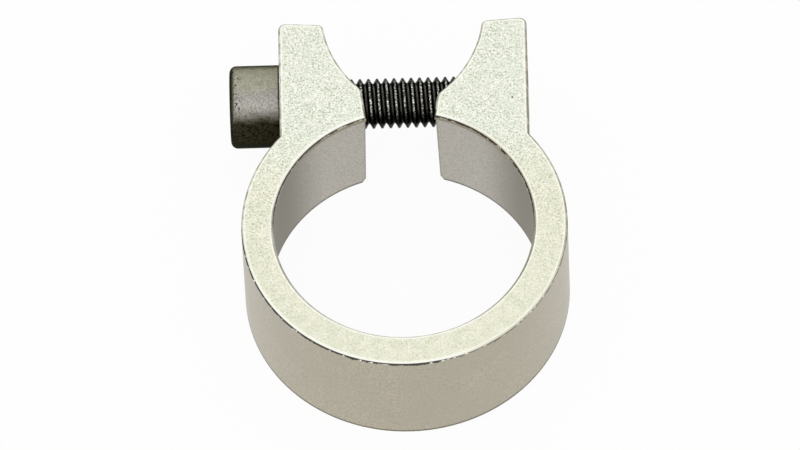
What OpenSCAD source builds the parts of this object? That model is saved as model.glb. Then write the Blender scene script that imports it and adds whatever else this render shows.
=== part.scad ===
// Seatpost clamp: a split aluminium band with two horned lugs, drawn together by a socket head cap screw.
// The origin is on the bore's axis at the bottom face. +Z runs up the bore, +Y towards the lugs, and
// the screw lies along X with its head at -X. All lengths are in millimetres.

/* [Band] */
// Diameter of the seat tube that the band closes on
tube_d = 31.8; // [25:0.1:40]
// Thickness of the band beside the seat tube
band_wall = 3.1; // [2.2:0.1:5]
// How far the band's outer wall lies to the right of the bore's axis
band_shift = 0.1; // [-0.3:0.05:0.3]
// Height of the band and of the lugs
band_h = 15.6; // [13:0.1:24]
// Height of the lip that stops the band from sliding down the tube
lip_h = 0.8; // [0.6:0.1:2.5]
// How far the lip reaches in over the tube's end
lip_reach = 0.75; // [0.4:0.05:1.5]
// Size of the break on the lip's upper edge
lip_break = 0.3; // [0.1:0.05:0.4]
// Size of the break on the sawn and bored edges
edge_break = 0.25; // [0.1:0.05:0.4]

/* [Slit] */
// Width of the slit at the bore's wall, at the top face
slit_w = 8.3; // [5:0.1:11]
// How far the slit lies to the right of the middle
slit_shift = -0.15; // [-0.6:0.05:0.6]
// Angle by which each side of the slit opens towards the lugs, in degrees
slit_splay = 7; // [0:1:8]
// How much further each side of the slit stands back at the bottom face
slit_flare = 0.3; // [0:0.05:0.5]
// Width of the break at the slit's bottom edges
slit_foot_w = 0.6; // [0.1:0.1:0.8]
// Height of that break
slit_foot_h = 1; // [0.3:0.1:1.5]

/* [Lugs] */
// Width across the lugs' outer faces
lug_span = 29.1; // [27:0.1:34]
// How far the lugs' middle lies to the right of the bore's axis
lug_shift = 0.3; // [-0.5:0.05:0.5]
// Distance from the bore's axis to the tips, where they meet the lugs' outer faces
lug_tip_y = 28; // [26:0.1:34]
// Angle by which the tips fall towards the slit, in degrees
tip_slope = 4; // [0:1:6]
// Radius of the hollow on each lug's inner side
hollow_r = 15; // [13.5:0.1:16.5]
// Width between the lugs where the hollows are widest
mouth_w = 18.9; // [16:0.1:20]
// How far the hollows' centres lie past the tips
hollow_past_tip = 1.3; // [0.6:0.1:2]
// Radius of the nose where each hollow runs into the slit
nose_r = 1.8; // [0.6:0.1:2.4]
// Radius of each tip's inner corner
tip_inner_r = 0.7; // [0.5:0.1:1.6]
// Radius of each tip's outer corner
tip_outer_r = 0.9; // [0.45:0.05:1.5]

/* [Screw] */
// Nominal diameter of the screw's thread
screw_d = 6; // [5:0.5:6]
// Pitch of the screw's thread
thread_pitch = 1; // [0.8:0.05:1.25]
// Length of the screw under its head
screw_len = 25; // [22:1:28]
// Length of the shank under the head that has no thread
plain_len = 3; // [1:0.5:4]
// Distance from the bore's axis to the screw's axis
screw_y = 21.3; // [20.8:0.1:22]
// Diameter of the screw's head
head_d = 9.7; // [8.5:0.1:10.5]
// Height of the screw's head
head_h = 5.9; // [5:0.1:6.5]
// Radius of the head's outer edge
head_edge_r = 0.8; // [0.3:0.1:1.2]
// Size across the flats of the hexagon socket
socket_af = 5; // [4:0.5:5]
// Depth of the socket's flats
socket_depth = 3; // [2:0.1:3.5]
// Height of the fillet between head and shank
neck_h = 0.25; // [0.1:0.05:0.28]
// Size of the chamfer at the screw's end
end_chamfer = 0.6; // [0.3:0.1:1]

/* [Fits] */
// Clearance all round the shank in the plain lug's hole
through_clearance = 0.3; // [0.3:0.05:0.5]
// Clearance all round the thread's crests in the tapped lug's hole
thread_clearance = 0.05; // [0.02:0.01:0.09]
// Clearance between the head and the plain lug
seat_clearance = 0.02; // [0.01:0.01:0.05]
// Size of the countersink at each mouth of the tapped hole
countersink = 0.5; // [0.2:0.1:0.8]

/* [Hidden] */
$fn = 96;

// How far each cut runs past the face that it opens
overrun = 1;
// Corner cuts run past by less, so that their breaks stay clear of the corner's own axis
corner_overrun = 0.1;
tube_r = tube_d / 2;
band_r = tube_r + band_wall;
lip_r = tube_r - lip_reach;
lug_half = lug_span / 2;
// Where the lugs' blanks end, inside the bore
lug_root_y = tube_r / 2;
screw_r = screw_d / 2;
// The plain shank has the thread's mean diameter: a blank of that size rolls out to full crests
pitch_line_share = 0.325;
plain_r = screw_r - thread_pitch * pitch_line_share;
screw_z = band_h / 2;
head_r = head_d / 2;
hollow_y = lug_tip_y + hollow_past_tip;
// How far each hollow's centre lies across the middle, on the other lug's side
hollow_across = hollow_r - mouth_w / 2;
// Angle by which each corner cut stops short of the walls that it runs into
graze_angle = 2;
// The cone under the socket is the drill's point, at 120 degrees
drill_point_angle = 120;
socket_corner_r = socket_af / 2 / cos(30);
lead_in = (socket_corner_r - socket_af / 2) / 2;

// Distances from the bore's axis on one side of it: side is 1 at +X and -1 at -X
function slit_half(side) = slit_w / 2 + side * slit_shift;
function lug_face(side) = lug_half + side * lug_shift;
function hollow_x(side) = side * lug_shift - hollow_across;

// Where a point lies for someone whose axes are turned by an angle
function turned(point, angle) = [
    point.x * cos(angle) + point.y * sin(angle),
    point.y * cos(angle) - point.x * sin(angle)
];

// Section of a straight cut as far as its wall, with both of the body's edges broken
function cut_section(reach, flare = 0, foot_w = edge_break, foot_h = edge_break) = [
    [0, -overrun],
    [reach + flare + foot_w * (1 + overrun / foot_h), -overrun],
    [reach + flare, foot_h],
    [reach, band_h - edge_break],
    [reach + edge_break + overrun, band_h + overrun],
    [0, band_h + overrun]
];

// Section of a block from its inside to its outer face, with the breaks of both edges running on past
// the end faces, which are trimmed afterwards
function block_section(reach) = [
    [0, -overrun],
    [reach - edge_break - overrun, -overrun],
    [reach, edge_break],
    [reach, band_h - edge_break],
    [reach - edge_break - overrun, band_h + overrun],
    [0, band_h + overrun]
];

// Cuts a vertical corner to a radius and breaks its two ends, between two angles about its centre.
// The cut stops a hair short of both walls, so that it crosses them and doesn't only graze them.
module corner_cut(r, x, y, from, to) {
    reach = r * 2;
    translate([x, y, 0])
        rotate([0, 0, from + graze_angle])
            rotate_extrude(angle = to - from - 2 * graze_angle)
                polygon([
                    [r - edge_break - corner_overrun, -corner_overrun],
                    [reach, -corner_overrun],
                    [reach, band_h + corner_overrun],
                    [r - edge_break - corner_overrun, band_h + corner_overrun],
                    [r, band_h - edge_break],
                    [r, edge_break]
                ]);
}

// Turns what is drawn for the right side over to the left one
module on_side(side) {
    mirror([side < 0 ? 1 : 0, 0, 0])
        children();
}

// Puts the origin on the slit's wall at the bore: +Y runs along the wall, and +X into the lug
module at_slit_wall(side) {
    on_side(side)
        translate([slit_half(side), tube_r, 0])
            rotate([0, 0, -slit_splay])
                children();
}

// Puts the origin where a tip meets the lug's outer face: -X runs along the tip, and +Y away from it
module at_tip(side) {
    on_side(side)
        translate([lug_face(side), lug_tip_y, 0])
            rotate([0, 0, tip_slope])
                children();
}

module band_blank() {
    translate([band_shift, 0, 0])
        rotate_extrude()
            polygon(block_section(band_r));
}

// One lug's blank, broken along its outer face and its tip
module lug_blank(side) {
    intersection() {
        on_side(side)
            rotate([90, 0, 0])
                translate([0, 0, -lug_tip_y - overrun])
                    linear_extrude(lug_tip_y + overrun - lug_root_y)
                        polygon(block_section(lug_face(side)));
        at_tip(side)
            rotate([90, 0, 90])
                translate([-lug_tip_y, 0, -lug_span])
                    linear_extrude(lug_span + overrun)
                        polygon(block_section(lug_tip_y));
    }
}

// The seat tube's bore, with the lip at its top
module bore_cut() {
    rotate_extrude()
        polygon([
            [0, -overrun],
            [tube_r + edge_break + overrun, -overrun],
            [tube_r, edge_break],
            [tube_r, band_h - lip_h],
            [lip_r, band_h - lip_h],
            [lip_r, band_h - lip_break],
            [lip_r + lip_break + overrun, band_h + overrun],
            [0, band_h + overrun]
        ]);
}

// Each half of the slit's cut also crosses the middle, so that the splay leaves nothing between them
module slit_cut() {
    for (side = [-1, 1]) {
        reach = slit_half(side) * 3 / 2;
        at_slit_wall(side)
            rotate([90, 0, 0])
                translate([-reach, 0, tube_r - hollow_y])
                    linear_extrude(hollow_y)
                        polygon(cut_section(reach, slit_flare, slit_foot_w, slit_foot_h));
    }
}

// The space between the horns: each side is an arc about a centre on the other lug's side
module hollow_cut() {
    intersection_for(side = [-1, 1])
        on_side(side)
            translate([hollow_x(side), hollow_y, 0])
                rotate_extrude()
                    polygon(cut_section(hollow_r));
}

// Rounds the tip's corner at the lug's outer face
module tip_outer_cut(side) {
    x = -tip_outer_r * (1 + sin(tip_slope)) / cos(tip_slope);
    at_tip(side)
        corner_cut(tip_outer_r, x, -tip_outer_r, -tip_slope, 90);
}

// Rounds the tip's corner at the hollow
module tip_inner_cut(side) {
    centre = turned([hollow_x(side) - lug_face(side), hollow_y - lug_tip_y], tip_slope);
    y = -tip_inner_r;
    x = centre.x + sqrt(pow(hollow_r + tip_inner_r, 2) - pow(centre.y - y, 2));
    at_tip(side)
        corner_cut(tip_inner_r, x, y, 90, 180 - atan2(centre.y - y, x - centre.x));
}

// Rounds the nose where the hollow runs into the slit
module nose_cut(side) {
    centre = turned([hollow_x(side) - slit_half(side), hollow_y - tube_r], -slit_splay);
    x = nose_r;
    y = centre.y - sqrt(pow(hollow_r + nose_r, 2) - pow(x - centre.x, 2));
    at_slit_wall(side)
        corner_cut(nose_r, x, y, 180 - atan2(centre.y - y, x - centre.x), 180);
}

// A clearance hole in the lug under the head, and a tapped hole in the other
module screw_holes() {
    tapped_r = screw_r + thread_clearance;
    translate([0, screw_y, screw_z])
        rotate([0, 90, 0]) {
            translate([0, 0, -lug_face(-1) - overrun])
                cylinder(h = lug_face(-1) + overrun, r = screw_r + through_clearance);
            cylinder(h = lug_face(1) + overrun, r = tapped_r);
            translate([0, 0, lug_face(1) - countersink])
                cylinder(h = countersink + overrun, r1 = tapped_r, r2 = tapped_r + countersink + overrun);
        }
}

// The band and both lugs, trimmed to the two end faces
module blank() {
    intersection() {
        union() {
            band_blank();
            lug_blank(-1);
            lug_blank(1);
        }
        cylinder(h = band_h, r = lug_tip_y + lug_half);
    }
}

module clamp_body() {
    color("gainsboro")
        difference() {
            blank();
            bore_cut();
            slit_cut();
            hollow_cut();
            for (side = [-1, 1]) {
                tip_outer_cut(side);
                tip_inner_cut(side);
                nose_cut(side);
            }
            screw_holes();
        }
}

// Half section of the screw along its axis, from the end of the shank to the top of the head
module screw_section() {
    difference() {
        union() {
            polygon([
                [0, 0],
                [screw_r - end_chamfer, 0],
                [screw_r, end_chamfer],
                [screw_r, screw_len - plain_len - (screw_r - plain_r)],
                [plain_r, screw_len - plain_len],
                [plain_r, screw_len - neck_h],
                [plain_r + neck_h, screw_len],
                [plain_r + neck_h, screw_len + head_edge_r],
                [0, screw_len + head_edge_r]
            ]);
            translate([0, screw_len])
                square([head_r, head_h - head_edge_r]);
            translate([0, screw_len])
                square([head_r - head_edge_r, head_h]);
            translate([head_r - head_edge_r, screw_len + head_h - head_edge_r])
                circle(head_edge_r);
        }
        translate([-head_r, 0])
            square([head_r, screw_len + head_h]);
    }
}

// The hexagon socket, its drill point and the lead-in at its mouth
module socket_cut() {
    point_h = socket_af / 2 / tan(drill_point_angle / 2);
    translate([0, 0, screw_len + head_h - socket_depth])
        cylinder(h = socket_depth + overrun, r = socket_corner_r, $fn = 6);
    translate([0, 0, screw_len + head_h - socket_depth - point_h])
        cylinder(h = point_h, r1 = 0, r2 = socket_af / 2);
    translate([0, 0, screw_len + head_h - lead_in])
        cylinder(h = lead_in + overrun, r1 = socket_corner_r - lead_in, r2 = socket_corner_r + overrun);
}

module clamp_screw() {
    color("dimgray")
        translate([screw_len - lug_face(-1) - seat_clearance, screw_y, screw_z])
            rotate([0, -90, 0])
                difference() {
                    rotate_extrude()
                        screw_section();
                    socket_cut();
                }
}

clamp_body();
clamp_screw();
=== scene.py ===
"""A seatpost clamp lies on a white table and is seen from above and in front, under soft light.

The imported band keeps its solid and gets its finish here. The screw is made again with its thread and
its hexagon socket, and the tapped lug gets the thread that shows past the screw's end. Lengths are in
metres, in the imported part's frame: the origin is on the bore's axis at the bottom face, +Z runs up the
bore, +Y towards the lugs, and the screw lies along X with its head at -X.
"""

import math
from types import SimpleNamespace

import bmesh
import bpy
from mathutils import Matrix, Vector


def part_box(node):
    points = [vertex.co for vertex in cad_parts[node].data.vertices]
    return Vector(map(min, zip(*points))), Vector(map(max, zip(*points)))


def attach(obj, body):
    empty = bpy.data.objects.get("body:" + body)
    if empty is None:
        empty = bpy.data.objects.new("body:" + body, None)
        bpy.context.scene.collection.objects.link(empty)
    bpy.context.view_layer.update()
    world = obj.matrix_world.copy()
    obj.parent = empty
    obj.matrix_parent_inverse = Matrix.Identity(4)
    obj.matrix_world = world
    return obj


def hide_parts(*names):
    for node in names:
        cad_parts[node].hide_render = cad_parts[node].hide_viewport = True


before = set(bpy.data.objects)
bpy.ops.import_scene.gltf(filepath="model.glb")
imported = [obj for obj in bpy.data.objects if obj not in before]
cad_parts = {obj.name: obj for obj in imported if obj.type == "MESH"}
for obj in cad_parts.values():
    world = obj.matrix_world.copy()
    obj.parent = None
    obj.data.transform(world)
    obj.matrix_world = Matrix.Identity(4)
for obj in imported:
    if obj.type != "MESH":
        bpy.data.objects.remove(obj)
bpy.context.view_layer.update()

MM = 0.001

# The band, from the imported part
BAND_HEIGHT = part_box("clamp_body")[1].z
EDGE_BREAK = 0.25 * MM
LUG_FACE_X = 14.85 * MM
BORE_R = 15.9 * MM

# The screw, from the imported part: it lies along X, and its head is at the low end
screw_low, screw_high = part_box("clamp_screw")
SCREW_Y = (screw_low.y + screw_high.y) / 2
SCREW_Z = (screw_low.z + screw_high.z) / 2
SCREW_END_X = screw_high.x
HEAD_R = (screw_high.y - screw_low.y) / 2
HEAD_HEIGHT = 5.9 * MM
HEAD_EDGE_R = 0.8 * MM
HEAD_TOP_X = screw_low.x
SEAT_X = HEAD_TOP_X + HEAD_HEIGHT
SOCKET_FLATS = 5 * MM
SOCKET_DEPTH = 3 * MM
SOCKET_LEAD_IN = 0.25 * MM

# The M6 thread, whose flanks stand 30 degrees off the square, with crests a little short of full size
PITCH = 1.0 * MM
FLANK_ANGLE = math.radians(30)
CREST_SHORT = 0.06 * MM
CREST_R = 3.0 * MM - CREST_SHORT
CREST_WIDTH = PITCH / 8 + 2 * CREST_SHORT * math.tan(FLANK_ANGLE)
THREAD_DEPTH = 0.6134 * PITCH - CREST_SHORT
END_CHAMFER = 0.6 * MM
PLAIN_SHANK = 3 * MM
PLAIN_SHANK_R = 2.675 * MM
# How many facets go once round the screw's pieces
FACETS = 96
# Where a crest crosses the screw's +Y side, past a whole number of pitches from x = 0
CREST_SHIFT = 0.02 * PITCH

# The tapped hole's thread past the screw's end
TAP_GAP = 0.06 * MM
TAP_OUTER_R = 3.12 * MM
TAP_CLEARANCE = CREST_SHORT + 0.04 * MM
COUNTERSINK = 0.5 * MM

# Scratches across the lugs' end faces and a speck on the top one, in millimetres
SCRATCHES = (((-10.3, 15.1), (-8.6, 14.6)), ((-9.8, 16.6), (-9.4, 16.0)), ((6.6, 15.5), (7.2, 16.2)))
SPECK = (13.0, 16.9)

# Where the painted light falls on the head and the thread's crests: this far round from straight up,
# towards +Y
HEAD_LIT_LEAN = math.radians(-2)
HEAD_HIGHLIGHT_LEAN = math.radians(-27)
THREAD_GLINT_LEAN = math.radians(-17)

# How much of the table shows as plain white, and how bright the room is apart from its lamps
TABLE_SHOWN_WHITE = 0.95
ROOM_LIGHT = 0.8

# Faces that meet at less than this are shaded as one smooth surface
SMOOTH_ANGLE = math.radians(35)

# The camera stands well back with a long lens
IMAGE_WIDTH = 800
SENSOR_WIDTH = 36
VIEW_ELEVATION = math.radians(58.83)
VIEW_AZIMUTH = math.radians(1.42)
VIEW_ROLL = math.radians(-2.78)
VIEW_DISTANCE = 2.0
PIXELS_PER_METRE = 8597
AIM = Vector((-0.42 * MM, -0.19 * MM, 15.7 * MM))

# Settings that many nodes share: a mask that rises smoothly, and a mix of two colours
SMOOTH = {"interpolation_type": "SMOOTHSTEP"}
COLOURS = {"data_type": "RGBA"}


def linear_colour(code):
    """Turns an sRGB hex colour into the linear RGBA that Blender's sockets take."""
    channels = [int(code[i:i + 2], 16) / 255 for i in (1, 3, 5)]
    return [c / 12.92 if c <= 0.04045 else ((c + 0.055) / 1.055) ** 2.4 for c in channels] + [1]


def add(tree, kind, inputs=None, **settings):
    """Adds a node, sets its properties, and fills its inputs by name or number.

    What goes in is a value, an output of another node, or a node, which gives its first output in use.
    """
    made = tree.nodes.new(kind)
    for name, value in settings.items():
        setattr(made, name, value)
    for name, value in (inputs or {}).items():
        if isinstance(name, str):
            socket = next(s for s in made.inputs if s.enabled and s.name == name)
        else:
            socket = made.inputs[name]
        if isinstance(value, bpy.types.Node):
            value = next(s for s in value.outputs if s.enabled)
        if isinstance(value, bpy.types.NodeSocket):
            tree.links.new(value, socket)
        else:
            socket.default_value = value
    return made


def emptied(owner):
    """The node tree of a material or a world, with nothing in it."""
    owner.use_nodes = True
    owner.node_tree.nodes.clear()
    return owner.node_tree


def stripe(tree, value, low, high, blur, most=1.0):
    """Gives most where a value lies between low and high, and 0 outside, with a blur at both ends."""
    above = add(tree, "ShaderNodeMapRange",
                {"Value": value, "From Min": low - blur / 2, "From Max": low + blur / 2, "To Max": most},
                **SMOOTH)
    past = add(tree, "ShaderNodeMath", {0: value, 1: high}, operation="SUBTRACT")
    return add(tree, "ShaderNodeMapRange",
               {"Value": past, "From Min": blur / 2, "From Max": -blur / 2, "To Max": above}, **SMOOTH)


def two_tone(tree, value, low, high, first, second):
    """A finish of two tones: the first where a value is low, the second where it is high."""
    share = add(tree, "ShaderNodeMapRange", {"Value": value, "From Min": low, "From Max": high},
                **SMOOTH)
    return add(tree, "ShaderNodeMix",
               {"Factor": share, "A": linear_colour(first), "B": linear_colour(second)}, **COLOURS)


def scratch(tree, position, start, end):
    """A straight scratch 0.1 mm wide across the end faces, between two points in millimetres."""
    width = 0.1 * MM
    length = math.dist(start, end) * MM
    along = (Vector(end) - Vector(start)).normalized().to_3d()
    from_start = add(tree, "ShaderNodeVectorMath", {0: position, 1: Vector(start).to_3d() * MM},
                     operation="SUBTRACT")
    reach = add(tree, "ShaderNodeVectorMath", {0: from_start, 1: along}, operation="DOT_PRODUCT")
    aside = add(tree, "ShaderNodeVectorMath", {0: from_start, 1: Vector((-along.y, along.x, 0))},
                operation="DOT_PRODUCT")
    lengthwise = stripe(tree, reach, 0, length, blur=length / 3, most=0.7)
    return stripe(tree, aside, -width / 2, width / 2, blur=width / 2, most=lengthwise)


def openness(tree, radius):
    """Gives 1 on open faces, and a little less within a radius of an edge."""
    rounded = add(tree, "ShaderNodeBevel", {"Radius": radius}, samples=8)
    true_normal = add(tree, "ShaderNodeNewGeometry").outputs["Normal"]
    return add(tree, "ShaderNodeVectorMath", {0: rounded, 1: true_normal}, operation="DOT_PRODUCT")


def band_zones(tree):
    """Where a point of the band is, how far it faces the back, and its share in each zone of the band.

    A zone's share runs smoothly from 0 to the most that its paint covers.
    """
    place = add(tree, "ShaderNodeTexCoord")
    position = place.outputs["Object"]
    at = add(tree, "ShaderNodeSeparateXYZ", {"Vector": position})
    facing = add(tree, "ShaderNodeSeparateXYZ", {"Vector": place.outputs["Normal"]})
    zones = SimpleNamespace(position=position, x=at.outputs["X"], y=at.outputs["Y"], z=at.outputs["Z"],
                            facing_back=facing.outputs["Y"])
    upright = add(tree, "ShaderNodeMath", {0: facing.outputs["Z"]}, operation="ABSOLUTE")
    sideways = add(tree, "ShaderNodeMath", {0: zones.x}, operation="ABSOLUTE")
    flat = add(tree, "ShaderNodeVectorMath", {0: position, 1: (1, 1, 0)}, operation="MULTIPLY")
    from_axis = add(tree, "ShaderNodeVectorMath", {0: flat}, operation="LENGTH")
    open_face = openness(tree, 0.5 * MM)
    # Each zone: what it is read from, where that gives none of it and all of it, and its most
    for name, value, none_at, all_at, most in (
        ("end_face", upright, 0.85, 0.95, 1.0),
        ("sloping", upright, 0.3, 0.5, 1.0),
        ("near_edge", open_face, 0.9995, 0.975, 0.85),
        ("at_edge", open_face, 0.97, 0.90, 0.7),
        ("in_bore", from_axis, BORE_R + 0.3 * MM, BORE_R + 0.2 * MM, 1.0),
        ("in_mouth", from_axis, BORE_R + 0.1 * MM, BORE_R - 0.1 * MM, 1.0),
        ("beside_bore", sideways, 8.5 * MM, 15.5 * MM, 1.0),
    ):
        mask = add(tree, "ShaderNodeMapRange",
                   {"Value": value, "From Min": none_at, "From Max": all_at, "To Max": most}, **SMOOTH)
        setattr(zones, name, mask)
    return zones


def sandy_face(tree, zones):
    """The sawn end faces, sanded by tumbling grit: cream, with fine dark pits, and edges rubbed bright that
    also carry a painted highlight.

    Gives the colour, and the pits' height for the bump.
    """
    # The grit's pits are about 0.2 mm across, and deeper in some patches and towards the lugs
    grit = add(tree, "ShaderNodeTexNoise",
               {"Vector": zones.position, "Scale": 1 / (0.23 * MM), "Detail": 3.0, "Roughness": 0.7})
    patches = add(tree, "ShaderNodeTexNoise", {"Vector": zones.position, "Scale": 1 / (2.5 * MM)})
    patch_depth = add(tree, "ShaderNodeMapRange",
                      {"Value": patches, "From Min": 0.3, "From Max": 0.7, "To Min": 0.75, "To Max": 1.2},
                      **SMOOTH)
    lug_depth = add(tree, "ShaderNodeMapRange",
                    {"Value": zones.y, "From Min": -16 * MM, "From Max": 14 * MM, "To Min": 0.5,
                     "To Max": 1.15}, **SMOOTH)
    depth = add(tree, "ShaderNodeMath", {0: patch_depth, 1: lug_depth}, operation="MULTIPLY")
    from_middle = add(tree, "ShaderNodeMath", {0: grit, 1: 0.5}, operation="SUBTRACT")
    pits = add(tree, "ShaderNodeMath", {0: from_middle, 1: depth, 2: 0.5}, operation="MULTIPLY_ADD")
    sand = add(tree, "ShaderNodeValToRGB", {"Fac": pits})
    dark, light = sand.color_ramp.elements
    dark.position, dark.color = 0.32, linear_colour("#AFB5A2")
    light.position, light.color = 0.64, linear_colour("#F7F9F2")
    sand.color_ramp.elements.new(0.48).color = linear_colour("#E1E4DA")

    # The lugs' faces are a little greener than the ring's, and both have faint clouds
    tint = two_tone(tree, zones.y, 4 * MM, 14 * MM, "#FDF9F0", "#FEFDFA")
    tinted = add(tree, "ShaderNodeMix", {"Factor": 1.0, "A": sand, "B": tint}, blend_type="MULTIPLY",
                 **COLOURS)
    clouds = add(tree, "ShaderNodeTexNoise",
                 {"Vector": zones.position, "Scale": 1 / (1.3 * MM), "Detail": 3.0})
    cloudy = add(tree, "ShaderNodeMapRange", {"Value": clouds, "From Min": 0.40, "From Max": 0.60},
                 **SMOOTH)
    face = add(tree, "ShaderNodeMix", {"Factor": cloudy, "A": tinted, "B": linear_colour("#F7F9F6")},
               blend_type="MULTIPLY", **COLOURS)

    # Tumbling rubs the faces whiter near their edges, where a painted highlight of the rounded edges also
    # lies, and handling has scratched the lugs
    layers = [(zones.near_edge, "#F6F8EC")]
    layers += [(scratch(tree, zones.position, start, end), "#FAFAF0") for start, end in SCRATCHES]
    for share, paint in layers:
        face = add(tree, "ShaderNodeMix", {"Factor": share, "A": face, "B": linear_colour(paint)},
                   **COLOURS)
    return face, pits


def satin_wall(tree, zones):
    """The walls: the extrusion's smooth satin outside and the reamer's inside, with small dark nicks,
    painted shade on the bore's two sides, and painted shade along the edges and in corners.
    """
    specks = add(tree, "ShaderNodeTexNoise",
                 {"Vector": zones.position, "Scale": 1 / (0.2 * MM), "Detail": 1.0})
    drawn = two_tone(tree, specks, 0.3, 0.7, "#A6A08D", "#BFB7A7")
    reamed = two_tone(tree, specks, 0.3, 0.7, "#A7A39A", "#BDB9B0")
    wide = add(tree, "ShaderNodeTexNoise",
               {"Vector": zones.position, "Scale": 1 / (7 * MM), "Detail": 1.0})
    wide_tone = add(tree, "ShaderNodeMapRange",
                    {"Value": wide, "From Min": 0.35, "From Max": 0.65, "To Max": 0.6}, **SMOOTH)
    drawn = add(tree, "ShaderNodeMix",
                {"Factor": wide_tone, "A": drawn, "B": linear_colour("#ADA896")}, **COLOURS)
    # The bore's two sides are painted darker, as painted shade
    reamed = add(tree, "ShaderNodeMix",
                 {"Factor": zones.beside_bore, "A": reamed, "B": linear_colour("#66604E")}, **COLOURS)
    wall = add(tree, "ShaderNodeMix", {"Factor": zones.in_bore, "A": drawn, "B": reamed}, **COLOURS)
    # The nicks are about three times as wide as they are high
    flattened = add(tree, "ShaderNodeVectorMath", {0: zones.position, 1: (1, 1, 3)},
                    operation="MULTIPLY")
    knocks = add(tree, "ShaderNodeTexNoise",
                 {"Vector": flattened, "Scale": 1 / (0.9 * MM), "Detail": 3.0, "Roughness": 0.6})
    nicks = add(tree, "ShaderNodeMapRange",
                {"Value": knocks, "From Min": 0.66, "From Max": 0.72, "To Max": 0.6}, **SMOOTH)
    # Small dark nicks, and painted shade along the walls' edges and in their corners
    for share, paint in ((nicks, "#7D7869"), (zones.at_edge, "#7F7B68")):
        wall = add(tree, "ShaderNodeMix", {"Factor": share, "A": wall, "B": linear_colour(paint)},
                   **COLOURS)
    return wall


def painted_burr_shadow(tree, zones, below_top):
    """A painted shadow: a dark ragged line under the top's edges.

    It is thick at the front left and along the bore's back, thin at the right, and gone from the
    bore's front.
    """
    front = add(tree, "ShaderNodeMapRange", {"Value": zones.y, "From Min": 2 * MM, "From Max": -3 * MM},
                **SMOOTH)
    front_left = add(tree, "ShaderNodeMapRange",
                     {"Value": zones.x, "From Min": 9 * MM, "From Max": 3 * MM, "To Max": front},
                     **SMOOTH)
    front_right = add(tree, "ShaderNodeMath", {0: front, 1: 0.35}, operation="MULTIPLY")
    behind = add(tree, "ShaderNodeMapRange",
                 {"Value": zones.y, "From Min": 8 * MM, "From Max": 12 * MM, "To Max": 0.4}, **SMOOTH)
    right_lug = add(tree, "ShaderNodeMapRange",
                    {"Value": zones.x, "From Min": 13 * MM, "From Max": 14 * MM, "To Max": behind},
                    **SMOOTH)
    outside = add(tree, "ShaderNodeMath", {0: front_left, 1: front_right}, operation="MAXIMUM")
    outside = add(tree, "ShaderNodeMath", {0: outside, 1: right_lug}, operation="MAXIMUM")
    across_bore = add(tree, "ShaderNodeMapRange",
                      {"Value": zones.x, "From Min": -6 * MM, "From Max": 5 * MM, "To Min": 0.7,
                       "To Max": 0.9}, **SMOOTH)
    bore_back = add(tree, "ShaderNodeMapRange",
                    {"Value": zones.y, "From Min": -1 * MM, "From Max": 4 * MM, "To Max": across_bore},
                    **SMOOTH)
    share = add(tree, "ShaderNodeMix", {"Factor": zones.in_bore, "A": outside, "B": bore_back})

    # The line's upper side is straight, and its lower side is ragged. Where the painted shadow is
    # thick, the line starts higher up and reaches further down
    start = 0.19 * MM
    height = 0.13 * MM
    raggedness = 1.2 * MM
    depth = add(tree, "ShaderNodeMath", {0: share, 1: 0.08 * MM, 2: below_top},
                operation="MULTIPLY_ADD")
    ragged = add(tree, "ShaderNodeTexNoise",
                 {"Vector": zones.position, "Scale": 1 / (1.1 * MM), "Detail": 4.0, "Roughness": 0.8})
    highest = add(tree, "ShaderNodeMath",
                  {0: share, 1: 0.06 * MM, 2: start + height - raggedness / 2},
                  operation="MULTIPLY_ADD")
    bottom = add(tree, "ShaderNodeMath", {0: ragged, 1: raggedness, 2: highest},
                 operation="MULTIPLY_ADD")
    strength = add(tree, "ShaderNodeMapRange", {"Value": share, "To Min": 0.55, "To Max": 0.95})
    line = stripe(tree, depth, start, bottom, blur=0.06 * MM, most=strength)
    bore_front = add(tree, "ShaderNodeMapRange",
                     {"Value": zones.y, "From Min": 1 * MM, "From Max": -2 * MM,
                      "To Max": zones.in_bore}, **SMOOTH)
    return add(tree, "ShaderNodeMapRange", {"Value": bore_front, "To Min": line, "To Max": 0.0})


def painted_edge_light(tree, zones):
    """The thin broken edges, with painted light: a painted highlight where they face the front, and a
    broken tan line of painted dark reflection at the back.
    """
    gaps = add(tree, "ShaderNodeTexNoise",
               {"Vector": zones.position, "Scale": 1 / (1.3 * MM), "Detail": 3.0})
    unbroken = add(tree, "ShaderNodeMapRange",
                   {"Value": gaps, "From Min": 0.4, "From Max": 0.6, "To Min": 0.35, "To Max": 0.9},
                   **SMOOTH)
    # The tan painted reflection is weak at the front of the bore's mouth
    mouth_front = add(tree, "ShaderNodeMapRange",
                      {"Value": zones.y, "From Min": 3 * MM, "From Max": -1 * MM,
                       "To Max": zones.in_mouth}, **SMOOTH)
    kept = add(tree, "ShaderNodeMapRange", {"Value": mouth_front, "To Min": 1.0, "To Max": 0.45})
    tan = add(tree, "ShaderNodeMath", {0: unbroken, 1: kept}, operation="MULTIPLY")
    # The tan painted reflection shows where the edges face the back
    tan = add(tree, "ShaderNodeMapRange",
              {"Value": zones.facing_back, "From Min": -0.35, "From Max": 0.05, "To Max": tan}, **SMOOTH)
    # The painted highlight is whiter at low x and dimmer towards the right lug
    bright = two_tone(tree, zones.x, 4 * MM, 11 * MM, "#FAFAF2", "#DDD9C8")
    return add(tree, "ShaderNodeMix", {"Factor": tan, "A": bright, "B": linear_colour("#9D9782")},
               **COLOURS)


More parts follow.
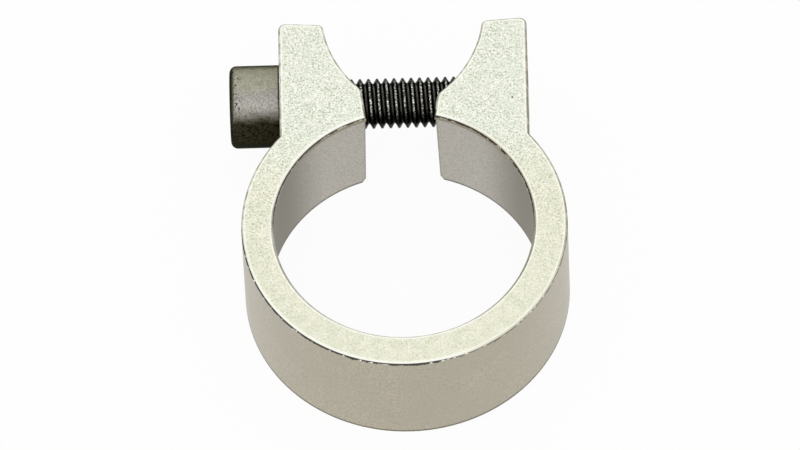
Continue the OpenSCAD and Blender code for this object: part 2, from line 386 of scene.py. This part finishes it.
def tumbled_aluminium():
    """Aluminium extrusion, sawn off and tumbled: sandy cream end faces, satin walls and rubbed edges, with
    painted highlights, reflections and shade.
    """
    material = bpy.data.materials.new("tumbled_aluminium")
    tree = emptied(material)
    zones = band_zones(tree)
    face, pits = sandy_face(tree, zones)
    below_top = add(tree, "ShaderNodeMath", {0: BAND_HEIGHT, 1: zones.z}, operation="SUBTRACT")

    # A brown painted shade lies on the lip below the painted shadow of the burr, and a dark painted shade
    # runs round the foot of the walls
    lip_shade_strength = add(tree, "ShaderNodeMapRange",
                  {"Value": zones.y, "From Min": 1 * MM, "From Max": -2 * MM, "To Min": 0.7,
                   "To Max": 0.21}, **SMOOTH)
    lip_shade_strength = add(tree, "ShaderNodeMath", {0: lip_shade_strength, 1: zones.in_bore}, operation="MULTIPLY")
    lip_shade = stripe(tree, below_top, 0.16 * MM, 0.85 * MM, blur=0.06 * MM, most=lip_shade_strength)
    # The foot's painted shade is darker beside the bore
    foot_shade_strength = add(tree, "ShaderNodeMapRange",
                {"Value": zones.beside_bore, "To Min": 0.75, "To Max": 0.95})
    foot_shade = add(tree, "ShaderNodeMapRange",
                    {"Value": zones.z, "From Min": 0.70 * MM, "From Max": 0.42 * MM, "To Max": foot_shade_strength},
                    **SMOOTH)
    # One dark speck lies on the right lug
    from_speck = add(tree, "ShaderNodeVectorMath",
                     {0: zones.position, 1: (SPECK[0] * MM, SPECK[1] * MM, BAND_HEIGHT)},
                     operation="DISTANCE")
    speck = add(tree, "ShaderNodeMapRange",
                {"Value": from_speck, "From Min": 0.16 * MM, "From Max": 0.06 * MM}, **SMOOTH)

    colour = satin_wall(tree, zones)
    for share, paint in (
        (zones.sloping, painted_edge_light(tree, zones)),
        (zones.end_face, face),
        (lip_shade, linear_colour("#8A7F66")),
        (foot_shade, linear_colour("#5A5544")),
        (painted_burr_shadow(tree, zones, below_top), linear_colour("#2B261B")),
        (speck, linear_colour("#3A3A30")),
    ):
        colour = add(tree, "ShaderNodeMix", {"Factor": share, "A": colour, "B": paint}, **COLOURS)
    roughness = add(tree, "ShaderNodeMapRange",
                    {"Value": zones.end_face, "To Min": 0.38, "To Max": 0.55})
    height = add(tree, "ShaderNodeMath", {0: pits, 1: zones.end_face}, operation="MULTIPLY")
    bump = add(tree, "ShaderNodeBump", {"Height": height, "Strength": 0.35, "Distance": 0.04 * MM})
    shader = add(tree, "ShaderNodeBsdfPrincipled",
                 {"Base Color": colour, "Metallic": 1.0, "Roughness": roughness, "Normal": bump})
    add(tree, "ShaderNodeOutputMaterial", {"Surface": shader})
    return material


def outward_from_screw(tree, position):
    """The way from the screw's axis straight out to a point."""
    from_axis = add(tree, "ShaderNodeVectorMath", {0: position, 1: (0, SCREW_Y, SCREW_Z)},
                    operation="SUBTRACT")
    return add(tree, "ShaderNodeVectorMath", {0: from_axis, 1: (0, 1, 1)}, operation="MULTIPLY")


def facing_light(tree, position, lean):
    """How far the screw's side faces the painted light: most where it faces up, leaning to +Y, and broken
    by blotches.
    """
    outward = outward_from_screw(tree, position)
    outward = add(tree, "ShaderNodeVectorMath", {0: outward}, operation="NORMALIZE")
    facing = add(tree, "ShaderNodeVectorMath", {0: outward, 1: (0, math.sin(lean), math.cos(lean))},
                 operation="DOT_PRODUCT")
    blotches = add(tree, "ShaderNodeTexNoise",
                 {"Vector": position, "Scale": 1 / (1.2 * MM), "Detail": 4.0, "Roughness": 0.6})
    return add(tree, "ShaderNodeMath", {0: blotches, 1: 0.2, 2: facing}, operation="MULTIPLY_ADD")


def black_oxide_steel():
    """Alloy steel with a black oxide under oil: olive grey with a painted highlight, painted shade on its
    lower side and a painted shadow at its seat, black and pitted at the rim.
    """
    material = bpy.data.materials.new("black_oxide_steel")
    tree = emptied(material)
    position = add(tree, "ShaderNodeTexCoord").outputs["Object"]
    x = add(tree, "ShaderNodeSeparateXYZ", {"Vector": position}).outputs["X"]
    # The oxide's own grain is too fine to show, so it is drawn a quarter of a millimetre across
    mottle = add(tree, "ShaderNodeTexNoise",
                 {"Vector": position, "Scale": 1 / (0.25 * MM), "Detail": 4.0, "Roughness": 0.7})
    spots = add(tree, "ShaderNodeTexNoise", {"Vector": position, "Scale": 1 / (0.35 * MM), "Detail": 1.0})
    # Where the head has painted shade, its painted highlight band, its rim, a painted shadow at its seat
    # and the band near its rim: what each is read from, where that gives none of it and all of it, and its
    # most
    masks = []
    for value, none_at, all_at, most in (
        (facing_light(tree, position, HEAD_LIT_LEAN), 0.98, 0.65, 1.0),
        (facing_light(tree, position, HEAD_HIGHLIGHT_LEAN), 0.98, 1.12, 0.8),
        (x, HEAD_TOP_X + 0.7 * MM, HEAD_TOP_X + 0.25 * MM, 1.0),
        (x, SEAT_X - 0.3 * MM, SEAT_X - 0.1 * MM, 1.0),
        (x, HEAD_TOP_X + 1.6 * MM, HEAD_TOP_X + 0.6 * MM, 1.0),
    ):
        masks.append(add(tree, "ShaderNodeMapRange",
                         {"Value": value, "From Min": none_at, "From Max": all_at, "To Max": most},
                         **SMOOTH))
    shaded_side, highlight_band, rim, seat_shadow, near_rim = masks
    pitted = add(tree, "ShaderNodeMath", {0: near_rim, 1: shaded_side}, operation="MAXIMUM")
    pits = add(tree, "ShaderNodeMapRange",
               {"Value": spots, "From Min": 0.60, "From Max": 0.66, "To Max": pitted}, **SMOOTH)
    dark = shaded_side
    for more in (rim, seat_shadow, pits):
        dark = add(tree, "ShaderNodeMath", {0: dark, 1: more}, operation="MAXIMUM")

    # Over the olive grey: the painted highlight band, then the dark of the painted shade, the black rim and
    # the painted seat shadow, then black pits
    colour = two_tone(tree, mottle, 0.3, 0.7, "#868574", "#ADAC9B")
    for share, paint in (
        (highlight_band, two_tone(tree, mottle, 0.35, 0.65, "#82807D", "#AFADAA")),
        (dark, two_tone(tree, mottle, 0.35, 0.65, "#1E1C12", "#424030")),
        (pits, linear_colour("#100E0A")),
    ):
        colour = add(tree, "ShaderNodeMix", {"Factor": share, "A": colour, "B": paint}, **COLOURS)
    roughness = add(tree, "ShaderNodeMapRange", {"Value": mottle, "To Min": 0.35, "To Max": 0.5})
    bump = add(tree, "ShaderNodeBump", {"Height": mottle, "Strength": 0.5, "Distance": 0.03 * MM})
    shader = add(tree, "ShaderNodeBsdfPrincipled",
                 {"Base Color": colour, "Metallic": 0.9, "Specular Tint": linear_colour("#8A897C"),
                  "Roughness": roughness, "Normal": bump})
    add(tree, "ShaderNodeOutputMaterial", {"Surface": shader})
    return material


def oiled_thread_steel():
    """The rolled thread under the same oxide: black grooves with oil on them, painted glints on the crests
    and a faint painted sheen in the grooves' bottoms.
    """
    material = bpy.data.materials.new("oiled_thread_steel")
    tree = emptied(material)
    position = add(tree, "ShaderNodeTexCoord").outputs["Object"]
    r = add(tree, "ShaderNodeVectorMath", {0: outward_from_screw(tree, position)}, operation="LENGTH")
    specks = add(tree, "ShaderNodeTexNoise",
                 {"Vector": position, "Scale": 1 / (0.25 * MM), "Detail": 3.0, "Roughness": 0.7})
    # Painted glints: broken lines on the crests and faint ones on the grooves' round bottoms, only on the
    # side that the painted light falls on
    unbroken = add(tree, "ShaderNodeMapRange",
                   {"Value": specks, "From Min": 0.46, "From Max": 0.62, "To Min": 0.1}, **SMOOTH)
    root_r = CREST_R - THREAD_DEPTH
    crest = add(tree, "ShaderNodeMapRange",
                {"Value": r, "From Min": CREST_R - 0.05 * MM, "From Max": CREST_R - 0.01 * MM,
                 "To Max": unbroken}, **SMOOTH)
    root = add(tree, "ShaderNodeMapRange",
               {"Value": r, "From Min": root_r + 0.02 * MM, "From Max": root_r - 0.02 * MM,
                "To Max": 0.3}, **SMOOTH)
    painted_glints = add(tree, "ShaderNodeMath", {0: crest, 1: root}, operation="ADD")
    glint_share = add(tree, "ShaderNodeMapRange",
               {"Value": facing_light(tree, position, THREAD_GLINT_LEAN), "From Min": 0.65,
                "From Max": 0.98, "To Max": painted_glints}, **SMOOTH)
    groove = two_tone(tree, specks, 0.5, 0.75, "#0B0A08", "#2A2923")
    colour = add(tree, "ShaderNodeMix", {"Factor": glint_share, "A": groove, "B": linear_colour("#DAD9CF")},
                 **COLOURS)
    roughness = add(tree, "ShaderNodeMapRange", {"Value": specks, "To Min": 0.15, "To Max": 0.35})
    bump = add(tree, "ShaderNodeBump", {"Height": specks, "Strength": 0.25, "Distance": 0.02 * MM})
    shader = add(tree, "ShaderNodeBsdfPrincipled",
                 {"Base Color": colour, "Metallic": 0.7, "Specular Tint": linear_colour("#6E6D60"),
                  "Roughness": roughness, "Normal": bump})
    add(tree, "ShaderNodeOutputMaterial", {"Surface": shader})
    return material


def mesh_object(name, mesh, material):
    """Makes an object of a bmesh, shaded smooth where its faces meet at a low angle."""
    bmesh.ops.recalc_face_normals(mesh, faces=mesh.faces)
    data = bpy.data.meshes.new(name)
    mesh.to_mesh(data)
    mesh.free()
    data.shade_smooth()
    data.set_sharp_from_angle(angle=SMOOTH_ANGLE)
    data.materials.append(material)
    made = bpy.data.objects.new(name, data)
    bpy.context.scene.collection.objects.link(made)
    return made


def about_screw(x, r, angle):
    """The point at one radius and angle about the screw's axis; angle 0 is towards +Y."""
    return Vector((x, SCREW_Y + r * math.cos(angle), SCREW_Z + r * math.sin(angle)))


def thread_profile():
    """One turn of the thread: pairs of a place along the axis and a depth under the crest."""
    crest = CREST_WIDTH
    flank = THREAD_DEPTH * math.tan(FLANK_ANGLE)
    root = PITCH - crest - 2 * flank
    sag = root / 5
    return [
        (-crest / 2, 0),
        (crest / 2, 0),
        (crest / 2 + flank / 2, THREAD_DEPTH / 2),
        (crest / 2 + flank, THREAD_DEPTH),
        (crest / 2 + flank + root / 2, THREAD_DEPTH + sag),
        (crest / 2 + flank + root, THREAD_DEPTH),
        (PITCH - crest / 2 - flank / 2, THREAD_DEPTH / 2),
    ]


def threaded_rod(low_x, high_x, crest_r, limit=None):
    """A rod with a right-hand thread, cut square at both ends. limit gives the most radius at an x."""
    profile = thread_profile()
    first = math.floor((low_x - CREST_SHIFT) / PITCH) - 2
    turns = math.ceil((high_x - low_x) / PITCH) + 5
    mesh = bmesh.new()
    columns = []
    for facet in range(FACETS):
        column = []
        for turn in range(turns):
            start = CREST_SHIFT + (first + turn + facet / FACETS) * PITCH
            for along, depth in profile:
                x = start + along
                r = min(crest_r - depth, limit(x)) if limit else crest_r - depth
                column.append(mesh.verts.new(about_screw(x, r, math.tau * facet / FACETS)))
        columns.append(column)
    for facet in range(FACETS):
        # The last column joins the first one, a whole turn further on
        shift = len(profile) if facet + 1 == FACETS else 0
        here, there = columns[facet], columns[(facet + 1) % FACETS]
        for i in range(len(here) - 1 - shift):
            mesh.faces.new((here[i], here[i + 1], there[i + 1 + shift], there[i + shift]))
    for x, side in ((low_x, -1), (high_x, 1)):
        geometry = mesh.verts[:] + mesh.edges[:] + mesh.faces[:]
        cut = bmesh.ops.bisect_plane(mesh, geom=geometry, plane_co=(x, 0, 0), plane_no=(side, 0, 0),
                                     clear_outer=True)
        rim = [e for e in cut["geom_cut"] if isinstance(e, bmesh.types.BMEdge)]
        bmesh.ops.contextual_create(mesh, geom=rim)
    return mesh


def screw_thread(material):
    """The threaded shank, chamfered at its end, with a plain length under the head."""
    def limit(x):
        return max(CREST_R - END_CHAMFER, min(CREST_R, CREST_R - END_CHAMFER + SCREW_END_X - x))

    mesh = threaded_rod(SEAT_X + PLAIN_SHANK, SCREW_END_X, CREST_R, limit)
    return mesh_object("screw_thread", mesh, material)


def lathe(mesh, rings, closed_at):
    """Joins rings of points about the screw's axis, and closes the first and the last to a point."""
    loops = [[mesh.verts.new(about_screw(*ring(math.tau * i / FACETS), math.tau * i / FACETS))
              for i in range(FACETS)] for ring in rings]
    for here, there in zip(loops, loops[1:]):
        for i in range(FACETS):
            j = (i + 1) % FACETS
            mesh.faces.new((here[i], here[j], there[j], there[i]))
    for loop, x in zip((loops[0], loops[-1]), closed_at):
        point = mesh.verts.new(about_screw(x, 0, 0))
        for i in range(FACETS):
            mesh.faces.new((loop[i], loop[(i + 1) % FACETS], point))


def screw_head(material):
    """The head: a cylinder with a rounded outer edge and a hexagon socket, and its plain shank."""
    arc_steps = 8
    corner_r = SOCKET_FLATS / 2 / math.cos(math.radians(30))
    mouth_r = corner_r + SOCKET_LEAD_IN / 2
    floor_x = HEAD_TOP_X + SOCKET_DEPTH
    point_x = floor_x + SOCKET_FLATS / 2 / math.tan(math.radians(60))

    def circle(x, r):
        return lambda angle: (x, r)

    def flats(angle):
        return SOCKET_FLATS / 2 / math.cos((angle + math.radians(30)) % math.radians(60) - math.radians(30))

    def lead_in(angle):
        return HEAD_TOP_X + mouth_r - flats(angle), flats(angle)

    def socket_floor(angle):
        return floor_x, flats(angle)

    rings = [circle(SEAT_X + PLAIN_SHANK, PLAIN_SHANK_R), circle(SEAT_X + EDGE_BREAK, PLAIN_SHANK_R),
             circle(SEAT_X, PLAIN_SHANK_R + EDGE_BREAK), circle(SEAT_X, HEAD_R - EDGE_BREAK),
             circle(SEAT_X - EDGE_BREAK / 2, HEAD_R)]
    for step in range(arc_steps + 1):
        turn = math.radians(90) * step / arc_steps
        rings.append(circle(HEAD_TOP_X + HEAD_EDGE_R * (1 - math.sin(turn)),
                            HEAD_R - HEAD_EDGE_R * (1 - math.cos(turn))))
    rings += [circle(HEAD_TOP_X, mouth_r), lead_in, socket_floor, circle(floor_x, SOCKET_FLATS / 2)]
    mesh = bmesh.new()
    lathe(mesh, rings, (SEAT_X + PLAIN_SHANK, point_x))
    return mesh_object("screw_head", mesh, material)


def tapped_hole(material):
    """The thread in the right lug past the screw's end: a sleeve in the hole, cut by a threaded rod."""
    low_x = SCREW_END_X + TAP_GAP
    high_x = LUG_FACE_X - COUNTERSINK
    sleeve = bmesh.new()
    bmesh.ops.create_cone(sleeve, cap_ends=True, segments=FACETS, radius1=TAP_OUTER_R,
                          radius2=TAP_OUTER_R, depth=high_x - low_x)
    bmesh.ops.transform(sleeve, verts=sleeve.verts, matrix=Matrix.Translation(
        ((low_x + high_x) / 2, SCREW_Y, SCREW_Z)) @ Matrix.Rotation(math.radians(90), 4, "Y"))
    made = mesh_object("tapped_thread", sleeve, material)
    rod = threaded_rod(low_x - PITCH, high_x + PITCH, CREST_R + TAP_CLEARANCE)
    cutter = mesh_object("tap", rod, material)
    cut = made.modifiers.new("tap", "BOOLEAN")
    cut.operation, cut.solver, cut.object = "DIFFERENCE", "EXACT", cutter
    bpy.context.view_layer.update()
    shaped = made.evaluated_get(bpy.context.evaluated_depsgraph_get())
    data = bpy.data.meshes.new_from_object(shaped)
    made.modifiers.clear()
    made.data = data
    data.shade_smooth()
    data.set_sharp_from_angle(angle=SMOOTH_ANGLE)
    bpy.data.objects.remove(cutter)
    return made


def shown_to_eye(tree, most):
    """Gives most to rays that see the background, straight or in gloss and glass, and 0 to its light."""
    seen = add(tree, "ShaderNodeLightPath")
    straight_or_gloss = add(tree, "ShaderNodeMath",
                            {0: seen.outputs["Is Camera Ray"], 1: seen.outputs["Is Glossy Ray"]},
                            operation="MAXIMUM")
    shown = add(tree, "ShaderNodeMath",
                {0: straight_or_gloss, 1: seen.outputs["Is Transmission Ray"]}, operation="MAXIMUM")
    return add(tree, "ShaderNodeMath", {0: shown, 1: most}, operation="MULTIPLY")


def white_table():
    """A matt white table, bright enough to show as white, that still takes the clamp's shadow."""
    material = bpy.data.materials.new("white_table")
    tree = emptied(material)
    matt = add(tree, "ShaderNodeBsdfDiffuse", {"Color": linear_colour("#F2F2F0")})
    lit = add(tree, "ShaderNodeEmission", {"Color": linear_colour("#FFFFFF"), "Strength": 1.0})
    mixed = add(tree, "ShaderNodeMixShader",
                {0: shown_to_eye(tree, TABLE_SHOWN_WHITE), 1: matt, 2: lit})
    add(tree, "ShaderNodeOutputMaterial", {"Surface": mixed})
    mesh = bmesh.new()
    bmesh.ops.create_circle(mesh, cap_ends=True, segments=64, radius=3.0)
    table = mesh_object("table", mesh, material)
    # A hair under the clamp, so that the two faces never share a plane
    table.location.z = -0.01 * MM


def soft_box(name, elevation, distance, size, radiance):
    """A square lamp that faces the clamp, as bright as radiance times a white room.

    Its elevation starts at the front, and past 90 degrees the lamp stands behind the clamp.
    """
    lamp = bpy.data.lights.new(name, "AREA")
    lamp.shape, lamp.size, lamp.energy = "SQUARE", size, radiance * math.pi * size ** 2
    holder = bpy.data.objects.new(name, lamp)
    out = Vector((0, -math.cos(elevation), math.sin(elevation)))
    holder.location = out * distance
    holder.rotation_euler = out.to_track_quat("Z", "Y").to_euler()
    bpy.context.scene.collection.objects.link(holder)


def light_room():
    """An even white room, with a soft box over the camera and a wider one overhead, towards the back."""
    world = bpy.data.worlds.new("white_room")
    bpy.context.scene.world = world
    tree = emptied(world)
    level = add(tree, "ShaderNodeMapRange",
                {"Value": shown_to_eye(tree, 1.0), "To Min": ROOM_LIGHT, "To Max": 1.0})
    sky = add(tree, "ShaderNodeBackground", {"Color": linear_colour("#FFFFFF"), "Strength": level})
    add(tree, "ShaderNodeOutputWorld", {"Surface": sky})
    soft_box("front_box", elevation=math.radians(66), distance=0.6, size=0.3, radiance=1.1)
    soft_box("back_box", elevation=math.radians(120), distance=0.7, size=0.8, radiance=0.2)


def point_camera():
    """Stands the camera where the photograph was taken from."""
    back = Vector((math.sin(VIEW_AZIMUTH) * math.cos(VIEW_ELEVATION),
                   -math.cos(VIEW_AZIMUTH) * math.cos(VIEW_ELEVATION), math.sin(VIEW_ELEVATION)))
    right = Vector((math.cos(VIEW_AZIMUTH), math.sin(VIEW_AZIMUTH), 0))
    up = back.cross(right)
    turned_right = math.cos(VIEW_ROLL) * right + math.sin(VIEW_ROLL) * up
    turned_up = math.cos(VIEW_ROLL) * up - math.sin(VIEW_ROLL) * right
    lens = bpy.data.cameras.new("camera")
    lens.sensor_fit = "HORIZONTAL"
    lens.sensor_width = SENSOR_WIDTH
    lens.lens = PIXELS_PER_METRE * VIEW_DISTANCE * SENSOR_WIDTH / IMAGE_WIDTH
    camera = bpy.data.objects.new("camera", lens)
    aim = Matrix.Rotation(VIEW_AZIMUTH, 4, "Z") @ AIM
    axes = Matrix((turned_right, turned_up, back)).transposed().to_4x4()
    camera.matrix_world = Matrix.Translation(aim + VIEW_DISTANCE * back) @ axes
    bpy.context.scene.collection.objects.link(camera)
    bpy.context.scene.camera = camera


bpy.context.scene.view_settings.view_transform = "Standard"
point_camera()
light_room()
white_table()

band_finish = tumbled_aluminium()
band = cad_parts["clamp_body"]
band.data.materials.clear()
band.data.materials.append(band_finish)

for piece in (screw_head(black_oxide_steel()), screw_thread(oiled_thread_steel())):
    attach(piece, "screw")
    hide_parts("clamp_screw")
tap = tapped_hole(band_finish)
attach(tap, "clamp")
